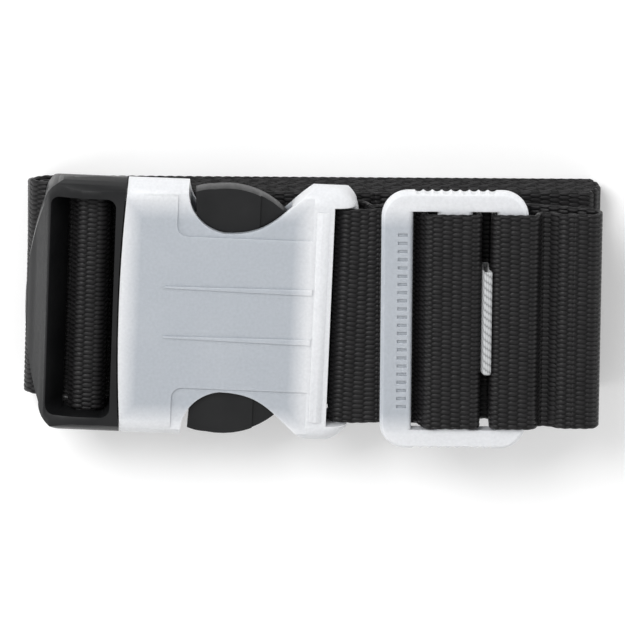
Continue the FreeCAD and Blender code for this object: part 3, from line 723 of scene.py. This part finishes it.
# ------------------------------------------------------------------ label
# A narrow woven tape in silver-grey twill, folded double and caught in the seam under the slider. Its
# fold stands up between the two humps of webbing.
label_thickness = 0.35
label_width = 24.0
label_twill, twill_tree, twill_shader = new_material("label_twill")
twill_map = twill_tree.nodes.new("ShaderNodeUVMap")
twill_map.uv_map = "weave_map"
twill_split = twill_tree.nodes.new("ShaderNodeSeparateXYZ")
twill_tree.links.new(twill_map.outputs[0], twill_split.inputs[0])
twill_height = yarn_floats(twill_tree, twill_split.outputs["X"], twill_split.outputs["Y"], 0.46, 1.7, 0.22)
# painted shade: the twill's silver-grey is darkened in the gaps between its floats
twill_shade_ramp = twill_tree.nodes.new("ShaderNodeValToRGB")
twill_shade_ramp.color_ramp.elements[0].color = (0.09, 0.092, 0.095, 1)
twill_shade_ramp.color_ramp.elements[1].color = (0.52, 0.53, 0.54, 1)
twill_tree.links.new(twill_height, twill_shade_ramp.inputs["Fac"])
twill_tree.links.new(twill_shade_ramp.outputs["Color"], twill_shader.inputs["Base Color"])
twill_shader.inputs["Roughness"].default_value = 0.45
twill_shader.inputs["Sheen Weight"].default_value = 0.2
twill_bump = twill_tree.nodes.new("ShaderNodeBump")
twill_bump.inputs["Strength"].default_value = 0.7
twill_bump.inputs["Distance"].default_value = 0.1 * mm
twill_tree.links.new(twill_height, twill_bump.inputs["Height"])
twill_tree.links.new(twill_bump.outputs["Normal"], twill_shader.inputs["Normal"])

label_low, label_high = [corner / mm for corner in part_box("label")]
label_lower = label_low.z + label_thickness / 2
label_upper = label_lower + label_thickness + 0.05
label_inner = loop_down + half_web + 0.25 + label_thickness / 2
label_outer = slot2_right - 0.15 - 2 * half_web - 0.3 - label_thickness / 2
label_top = label_high.z - label_thickness / 2
label_shoulder = slider_high.z - 0.8
label, _ = woven(
    "side_label",
    [
        (seam_end, label_upper, 0),
        (label_inner, label_upper, 0.4),
        (label_inner, label_shoulder, 2.0),
        (label_inner + 0.5, label_top, 0.6),
        (label_outer + 0.9, label_top, 0.6),
        (label_outer, label_shoulder, 2.0),
        (label_outer, label_lower, 0.4),
        (seam_end, label_lower, 0),
    ],
    label_twill,
    Width=label_width,
    Half_Thickness=0.13,
    Relief=0.06,
    Column_Pitch=0.46,
    Row_Pitch=1.7,
    Step=0.22,
    Along_Spacing=0.12,
    Points_Round=161,
    Edge_Round=0.2,
    Scallop=0.05,
    Looseness=0.2,
)
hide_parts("label")
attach(label, "slider")


# ------------------------------------------------------------------ seams
# Two rows of polyester lockstitch hold each end of the webbing.
thread, thread_tree, thread_shader = new_material("thread_black")
thread_place = thread_tree.nodes.new("ShaderNodeTexCoord")
thread_twist = thread_tree.nodes.new("ShaderNodeTexWave")
thread_twist.bands_direction = "DIAGONAL"
thread_twist.inputs["Scale"].default_value = 900.0
thread_tree.links.new(thread_place.outputs["Object"], thread_twist.inputs["Vector"])
thread_ramp = thread_tree.nodes.new("ShaderNodeValToRGB")
thread_ramp.color_ramp.elements[0].color = (0.004, 0.004, 0.004, 1)
thread_ramp.color_ramp.elements[1].color = (0.025, 0.025, 0.027, 1)
thread_tree.links.new(thread_twist.outputs["Fac"], thread_ramp.inputs["Fac"])
thread_tree.links.new(thread_ramp.outputs["Color"], thread_shader.inputs["Base Color"])
thread_shader.inputs["Roughness"].default_value = 0.5


def painted(node, material):
    """Gives a frame piece its material in place of the plain one."""
    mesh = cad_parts[node].data
    mesh.materials.clear()
    mesh.materials.append(material)


for seam in ("plug_stitches", "slider_stitches"):
    painted(seam, thread)


# ------------------------------------------------------------------ socket and slider
# Moulded in milky, frosted polypropylene: light passes a little way in, and the surface has a fine
# spark-eroded grain.
# Its colour holds painted shade: darker over the hollows, where the dark webbing shows through, and whiter
# where solid.
def make_moulded_surface():
    """A node group for a mould's spark-eroded surface: its fine grain, broad clouds and relief."""
    tree = bpy.data.node_groups.new("moulded_surface", "ShaderNodeTree")
    tree.interface.new_socket("Place", in_out="INPUT", socket_type="NodeSocketVector")
    for name in ("Grain Scale", "Cloud Scale", "Relief"):
        tree.interface.new_socket(name, in_out="INPUT", socket_type="NodeSocketFloat")
    tree.interface.new_socket("Grain", in_out="OUTPUT", socket_type="NodeSocketFloat")
    tree.interface.new_socket("Cloud", in_out="OUTPUT", socket_type="NodeSocketFloat")
    tree.interface.new_socket("Normal", in_out="OUTPUT", socket_type="NodeSocketVector")
    given = tree.nodes.new("NodeGroupInput").outputs
    found = tree.nodes.new("NodeGroupOutput").inputs
    for name, detail in (("Grain", 2.0), ("Cloud", 3.0)):
        noise = tree.nodes.new("ShaderNodeTexNoise")
        noise.inputs["Detail"].default_value = detail
        tree.links.new(given["Place"], noise.inputs["Vector"])
        tree.links.new(given[name + " Scale"], noise.inputs["Scale"])
        tree.links.new(noise.outputs["Fac"], found[name])
        if name == "Grain":
            bump = tree.nodes.new("ShaderNodeBump")
            bump.inputs["Distance"].default_value = 0.06 * mm
            tree.links.new(given["Relief"], bump.inputs["Strength"])
            tree.links.new(noise.outputs["Fac"], bump.inputs["Height"])
            tree.links.new(bump.outputs["Normal"], found["Normal"])
    return tree


moulded_surface_group = make_moulded_surface()


def moulded_surface(tree, grain_scale, cloud_scale, relief):
    """Places the group on the piece's own coordinates, and gives the node and those coordinates."""
    place = tree.nodes.new("ShaderNodeTexCoord").outputs["Object"]
    surface = tree.nodes.new("ShaderNodeGroup")
    surface.node_tree = moulded_surface_group
    tree.links.new(place, surface.inputs["Place"])
    surface.inputs["Grain Scale"].default_value = grain_scale
    surface.inputs["Cloud Scale"].default_value = cloud_scale
    surface.inputs["Relief"].default_value = relief
    return surface, place


def softened(node, width_mm):
    """Rounds a moulded piece's sharp edges a little, as a mould leaves them, so that they catch the light."""
    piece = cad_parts[node]
    weld = piece.modifiers.new("weld", "WELD")
    weld.merge_threshold = 0.002 * mm
    edges = piece.modifiers.new("softened_edges", "BEVEL")
    edges.width = width_mm * mm
    edges.segments = 2
    edges.limit_method = "ANGLE"
    edges.angle_limit = math.radians(32)
    edges.harden_normals = True


def frosted_plastic(name, shaded_colour, solid_colour, painted_shade_mask):
    """Frosted translucent plastic. Its colour holds painted shade: the first colour over a hollow, where the
    dark webbing shows through, and the second, whiter, where it is solid.
    """
    material, tree, shader = new_material(name)
    nodes, links = tree.nodes, tree.links
    surface, place = moulded_surface(tree, 1500.0, 90.0, 0.4)
    # painted shade: the mask darkens the colour over the hollows, a little unevenly
    mix = nodes.new("ShaderNodeMix")
    mix.data_type = "RGBA"
    mix.inputs["A"].default_value = shaded_colour
    mix.inputs["B"].default_value = solid_colour
    clouded = math_node(tree, "MULTIPLY_ADD", surface.outputs["Cloud"], 0.24, -0.12)
    links.new(math_node(tree, "ADD", painted_shade_mask(tree, place), clouded), mix.inputs["Factor"])
    mottled = nodes.new("ShaderNodeMix")
    mottled.data_type = "RGBA"
    mottled.blend_type = "MULTIPLY"
    mottled.inputs["Factor"].default_value = 0.18
    links.new(mix.outputs["Result"], mottled.inputs["A"])
    links.new(surface.outputs["Grain"], mottled.inputs["B"])
    links.new(mottled.outputs["Result"], shader.inputs["Base Color"])
    dull = math_node(tree, "MULTIPLY_ADD", surface.outputs["Grain"], 0.2, 0.36)
    links.new(dull, shader.inputs["Roughness"])
    shader.inputs["Subsurface Weight"].default_value = 0.6
    shader.inputs["Subsurface Radius"].default_value = (1.0, 1.0, 1.0)
    shader.inputs["Subsurface Scale"].default_value = 1.6 * mm
    shader.inputs["IOR"].default_value = 1.49
    links.new(surface.outputs["Normal"], shader.inputs["Normal"])
    return material


def edge_ramp(tree, reach, start):
    """0 up to start, and from there up to 1 over a fifth of the piece's half size."""
    ramp = math_node(tree, "MULTIPLY", math_node(tree, "SUBTRACT", reach, start), 5.0)
    return math_node(tree, "MINIMUM", math_node(tree, "MAXIMUM", ramp, 0.0), 1.0)


def socket_shade_mask(tree, place):
    """Painted shade mask: 0 over the socket's hollow middle, painted darker, and 1 on its solid sides, band
    and wings.
    """
    centred = tree.nodes.new("ShaderNodeMapping")
    centred.vector_type = "TEXTURE"
    centred.inputs["Location"].default_value = onto_buckle @ Vector((-21.5 * mm, 0, 21.0 * mm))
    centred.inputs["Rotation"].default_value = (0, 0, buckle_turn)
    tree.links.new(place, centred.inputs["Vector"])
    split = tree.nodes.new("ShaderNodeSeparateXYZ")
    tree.links.new(centred.outputs[0], split.inputs[0])
    x_out = math_node(tree, "DIVIDE", math_node(tree, "ABSOLUTE", split.outputs["X"]), 20.0 * mm)
    y_out = math_node(tree, "DIVIDE", math_node(tree, "ABSOLUTE", split.outputs["Y"]), 25.5 * mm)
    reach = math_node(tree, "MAXIMUM", x_out, y_out)
    return edge_ramp(tree, reach, 0.84)


def slider_shade_mask(tree, place):
    """Painted shade mask: 0 on the slider's bars over the dark webbing, painted darker, and 1 at its two
    ends.
    """
    split = tree.nodes.new("ShaderNodeSeparateXYZ")
    tree.links.new(place, split.inputs[0])
    reach = math_node(tree, "DIVIDE", math_node(tree, "ABSOLUTE", split.outputs["Y"]), 25.0 * mm)
    return edge_ramp(tree, reach, 0.86)


# painted shade over the hollows, and the whiter colour of the solid parts
frosted_shaded = (0.46, 0.49, 0.53, 1)
frosted_solid = (0.76, 0.77, 0.79, 1)
painted("socket_shell", frosted_plastic("frosted_socket", frosted_shaded, frosted_solid, socket_shade_mask))
painted("slider_frame", frosted_plastic("frosted_slider", frosted_shaded, frosted_solid, slider_shade_mask))
softened("socket_shell", 0.22)
softened("slider_frame", 0.22)


# ------------------------------------------------------------------ plug and its arms
# Black acetal with a satin finish, and softened edges that catch the light.
satin, satin_tree, satin_shader = new_material("plastic_black_satin")
satin_surface, _ = moulded_surface(satin_tree, 1900.0, 120.0, 0.2)
satin_shader.inputs["Specular IOR Level"].default_value = 0.35
satin_ramp = satin_tree.nodes.new("ShaderNodeValToRGB")
satin_ramp.color_ramp.elements[0].position = 0.3
satin_ramp.color_ramp.elements[0].color = (0.0065, 0.0068, 0.0075, 1)
satin_ramp.color_ramp.elements[1].position = 0.75
satin_ramp.color_ramp.elements[1].color = (0.0125, 0.0128, 0.0135, 1)
satin_tree.links.new(satin_surface.outputs["Cloud"], satin_ramp.inputs["Fac"])
satin_tree.links.new(satin_ramp.outputs["Color"], satin_shader.inputs["Base Color"])
satin_dull = math_node(satin_tree, "MULTIPLY_ADD", satin_surface.outputs["Grain"], 0.18, 0.30)
satin_tree.links.new(satin_dull, satin_shader.inputs["Roughness"])
satin_tree.links.new(satin_surface.outputs["Normal"], satin_shader.inputs["Normal"])
for node in ("plug_frame", "upper_arm", "lower_arm"):
    painted(node, satin)
    softened(node, 0.3)
